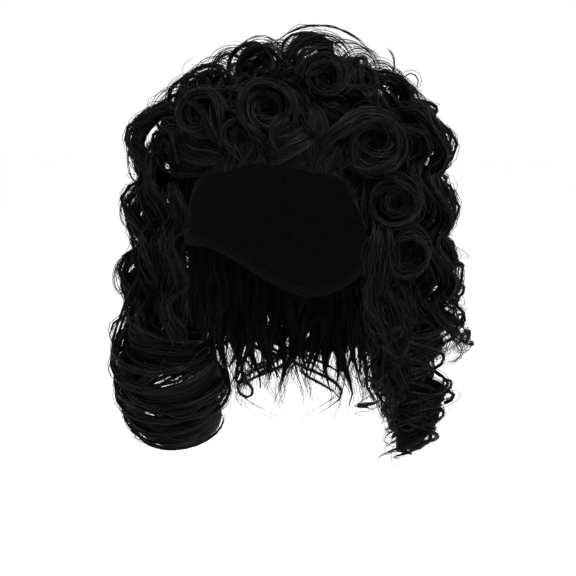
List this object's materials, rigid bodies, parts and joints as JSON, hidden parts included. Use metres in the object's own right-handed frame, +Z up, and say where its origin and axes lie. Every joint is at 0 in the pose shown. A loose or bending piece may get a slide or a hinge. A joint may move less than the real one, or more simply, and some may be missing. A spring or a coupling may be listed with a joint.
{
  "type": "curly pirate wig",
  "caption": "Long curly dress-up wig: a thin stretch cap with rolled curls over the forehead and crown, wavy locks beside the face and ringlets hanging to the shoulders at the sides and back.",
  "frame": {"origin": "middle of the wearer's head at the level of its greatest girth, just above the brows", "axes": "+Z up; the wearer faces -Y; +X towards the wearer's left ear"},
  "size_m": [0.2458, 0.234, 0.3108],
  "materials": {
    "cap": "matt knitted stretch net",
    "hair": "soft sheen of synthetic hair"
  },
  "bodies": {
    "root": {"wig_cap": "cap", "front_curls": "hair", "left_locks": "hair", "right_locks": "hair", "crown_curls": "hair", "back_locks": "hair"}
  },
  "joints": []
}
